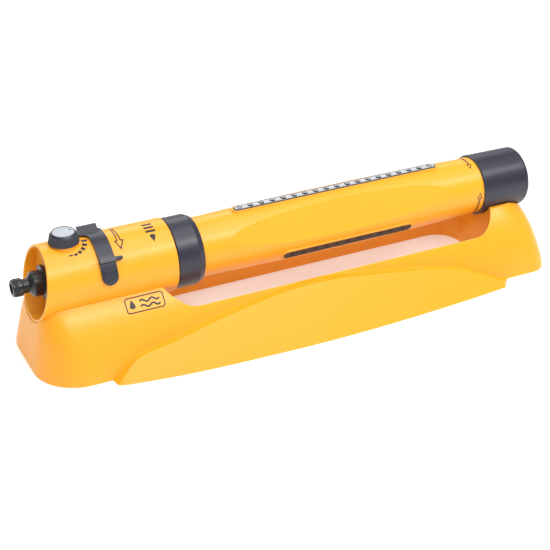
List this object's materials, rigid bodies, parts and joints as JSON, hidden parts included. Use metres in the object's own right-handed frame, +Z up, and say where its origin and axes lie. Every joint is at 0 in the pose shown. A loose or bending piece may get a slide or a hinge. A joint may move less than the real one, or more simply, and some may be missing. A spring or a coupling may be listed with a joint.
{
  "type": "oscillating sprinkler",
  "caption": "Oscillating lawn sprinkler: ring-shaped sled, tubular head with hose nipple, flow knob and range tabs, and a swinging tube with three rows of jets.",
  "frame": {"origin": "middle of the footprint, on the ground", "axes": "+X along the spray tube away from the hose inlet, +Z up, -Y the front with the printed arrows"},
  "size_m": [0.5126, 0.1746, 0.1181],
  "materials": {
    "yellow_shell": "moulded, satin gloss",
    "dark_trim": "moulded, satin slate black",
    "black_inlet": "moulded black",
    "dial_grey": "pale grey disc",
    "strip_grey": "silver grey soft strip",
    "strip_dark": "dark soft strip",
    "white_plastic": "natural white inner parts",
    "motor_clear": "pale translucent cup",
    "pipe_grey": "grey inner pipe",
    "steel": "stainless steel",
    "seal_rubber": "black rubber",
    "bronze_bush": "sintered bush"
  },
  "bodies": {
    "base": {"base_frame": "yellow_shell", "housing_screws": "steel", "control_housing": "yellow_shell", "inlet_connector": "black_inlet", "inlet_seal": "seal_rubber", "inlet_filter": "white_plastic", "valve_body": "white_plastic", "motor_case": "motor_clear", "jet_plate": "white_plastic", "gear_plate": "white_plastic", "rear_gear_plate": "white_plastic", "central_axle": "steel", "idler_axle": "steel", "shaft_seal": "seal_rubber", "bearing_plate": "white_plastic", "shaft_bush": "bronze_bush", "trip_spring": "steel"},
    "oscillator": {"output_gear": "white_plastic", "output_shaft": "pipe_grey", "drive_collar": "dark_trim", "sweep_arm": "pipe_grey", "distributor_pipe": "pipe_grey", "end_cap": "dark_trim", "flush_plug": "dark_trim"},
    "spray_tube_body": {"spray_tube": "yellow_shell", "nozzle_strip_long": "strip_grey", "nozzle_strip_middle": "strip_dark", "nozzle_strip_short": "strip_dark"},
    "flow_control": {"flow_knob": "dark_trim", "knob_dial": "dial_grey", "knob_screw": "steel", "valve_plug": "white_plastic", "valve_seal": "seal_rubber"},
    "front_tab": {"range_tab_front": "dark_trim"},
    "rear_tab": {"range_tab_rear": "dark_trim"},
    "reverser": {"trip_ring": "white_plastic"},
    "turbine": {"turbine_wheel": "white_plastic"},
    "gear_1": {"compound_gear_1": "white_plastic"},
    "gear_2": {"compound_gear_2": "white_plastic"},
    "gear_3": {"compound_gear_3": "white_plastic"}
  },
  "joints": [
    {"name": "sweep", "type": "hinge", "parent": "base", "child": "oscillator", "pos_m": [-0.1061, 0, 0.074], "axis": [1, 0, 0], "range_deg": [-50, 50]},
    {"name": "pattern_select", "type": "hinge", "parent": "oscillator", "child": "spray_tube_body", "pos_m": [0.0539, 0, 0.074], "axis": [1, 0, 0], "range_deg": [-120, 120]},
    {"name": "flow_knob_turn", "type": "hinge", "parent": "base", "child": "flow_control", "pos_m": [-0.2071, 0, 0.107], "axis": [0, 0, 1], "range_deg": [-90, 0]},
    {"name": "front_tab_slide", "type": "hinge", "parent": "base", "child": "front_tab", "pos_m": [-0.1787, 0, 0.074], "axis": [1, 0, 0], "range_deg": [0, 20]},
    {"name": "rear_tab_slide", "type": "hinge", "parent": "base", "child": "rear_tab", "pos_m": [-0.1787, 0, 0.074], "axis": [1, 0, 0], "range_deg": [-20, 0]},
    {"name": "reverse_throw", "type": "hinge", "parent": "base", "child": "reverser", "pos_m": [-0.1811, 0, 0.074], "axis": [1, 0, 0], "range_deg": [-8, 8]},
    {"name": "turbine_spin", "type": "hinge", "parent": "base", "child": "turbine", "pos_m": [-0.1811, 0, 0.074], "axis": [1, 0, 0], "continuous": true},
    {"name": "gear_1_spin", "type": "hinge", "parent": "base", "child": "gear_1", "pos_m": [-0.1661, 0, 0.06132], "axis": [1, 0, 0], "continuous": true},
    {"name": "gear_2_spin", "type": "hinge", "parent": "base", "child": "gear_2", "pos_m": [-0.1661, 0, 0.074], "axis": [1, 0, 0], "continuous": true},
    {"name": "gear_3_spin", "type": "hinge", "parent": "base", "child": "gear_3", "pos_m": [-0.1601, 0, 0.06132], "axis": [1, 0, 0], "continuous": true}
  ],
  "couplings": [
    {"joint": "gear_3_spin", "follows": "sweep", "ratio": -2.5},
    {"joint": "gear_2_spin", "follows": "sweep", "ratio": 6.25},
    {"joint": "gear_1_spin", "follows": "sweep", "ratio": -15.625},
    {"joint": "turbine_spin", "follows": "sweep", "ratio": 39.062}
  ]
}
